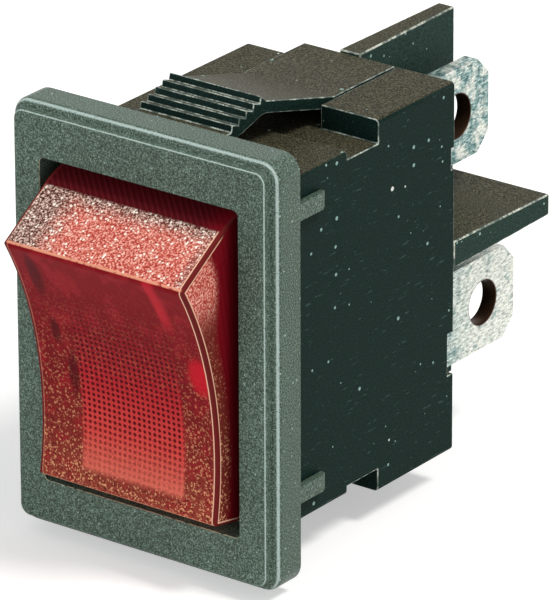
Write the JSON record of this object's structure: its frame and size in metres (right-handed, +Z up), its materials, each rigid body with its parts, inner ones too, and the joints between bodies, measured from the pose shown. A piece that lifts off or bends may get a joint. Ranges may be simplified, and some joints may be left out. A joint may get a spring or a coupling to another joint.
{
  "type": "panel rocker switch",
  "caption": "Snap-in panel rocker switch with a translucent red rocker over a lamp, a raised oblong bezel, toothed latches and staggered push-on tabs between cross barriers.",
  "frame": {"origin": "middle of the bezel's rear face, in the plane of the panel's front", "axes": "+X to the right and +Z up as the user sees the rocker, +Y into the panel towards the tabs"},
  "size_m": [0.015, 0.0274, 0.022],
  "materials": {
    "bezel_plastic": "fine matt moulded texture",
    "housing_plastic": "matt moulded, slightly dusty",
    "base_plastic": "matt moulded",
    "rocker_plastic": "translucent red, smooth finger face, textured ends",
    "tinned_brass": "bright tin plate on brass",
    "contact_silver": "silver alloy",
    "bridge_brass": "bare stamped brass",
    "plunger_nylon": "natural nylon",
    "spring_steel": "drawn steel wire",
    "lamp_glass": "clear glass with an orange glow",
    "lead_wire": "tinned wire",
    "resistor_body": "enamelled body with colour bands"
  },
  "bodies": {
    "switch_body": {"bezel_frame": "bezel_plastic", "housing": "housing_plastic", "terminal_base": "base_plastic", "terminal_upper_right": "tinned_brass", "terminal_upper_left": "tinned_brass", "terminal_lower_right": "tinned_brass", "terminal_lower_left": "tinned_brass", "fixed_contact_right": "contact_silver", "fixed_contact_left": "contact_silver", "neon_lamp": "lamp_glass", "lamp_lead_right": "lead_wire", "lamp_lead_left": "lead_wire", "lamp_resistor": "resistor_body", "resistor_lead": "lead_wire"},
    "rocker_assembly": {"rocker": "rocker_plastic", "plunger_spring_right": "spring_steel", "plunger_spring_left": "spring_steel"},
    "plunger_right": {"plunger_right": "plunger_nylon"},
    "plunger_left": {"plunger_left": "plunger_nylon"},
    "bridge_right": {"bridge_right": "bridge_brass", "bridge_contact_right": "contact_silver"},
    "bridge_left": {"bridge_left": "bridge_brass", "bridge_contact_left": "contact_silver"}
  },
  "joints": [
    {"name": "rocker_hinge", "type": "hinge", "parent": "switch_body", "child": "rocker_assembly", "pos_m": [0, 0.001, 0], "axis": [-1, 0, 0], "range_deg": [0, 21.6]},
    {"name": "plunger_slide_right", "type": "slide", "parent": "rocker_assembly", "child": "plunger_right", "axis": [0, -0.9823, -0.1874], "range_m": [0, 0.0006], "stiffness_N_per_m": 200, "springref_m": -0.0005, "deforming": ["plunger_spring_right"]},
    {"name": "plunger_slide_left", "type": "slide", "parent": "rocker_assembly", "child": "plunger_left", "axis": [0, -0.9823, -0.1874], "range_m": [0, 0.0006], "stiffness_N_per_m": 200, "springref_m": -0.0005, "deforming": ["plunger_spring_left"]},
    {"name": "bridge_hinge_right", "type": "hinge", "parent": "switch_body", "child": "bridge_right", "pos_m": [0.00345, 0.0091, 0], "axis": [1, 0, 0], "range_deg": [0, 14.01]},
    {"name": "bridge_hinge_left", "type": "hinge", "parent": "switch_body", "child": "bridge_left", "pos_m": [-0.00345, 0.0091, 0], "axis": [1, 0, 0], "range_deg": [0, 14.01]}
  ],
  "couplings": [
    {"joint": "bridge_hinge_right", "follows": "rocker_hinge", "ratio": 0.64815},
    {"joint": "bridge_hinge_left", "follows": "rocker_hinge", "ratio": 0.64815}
  ]
}
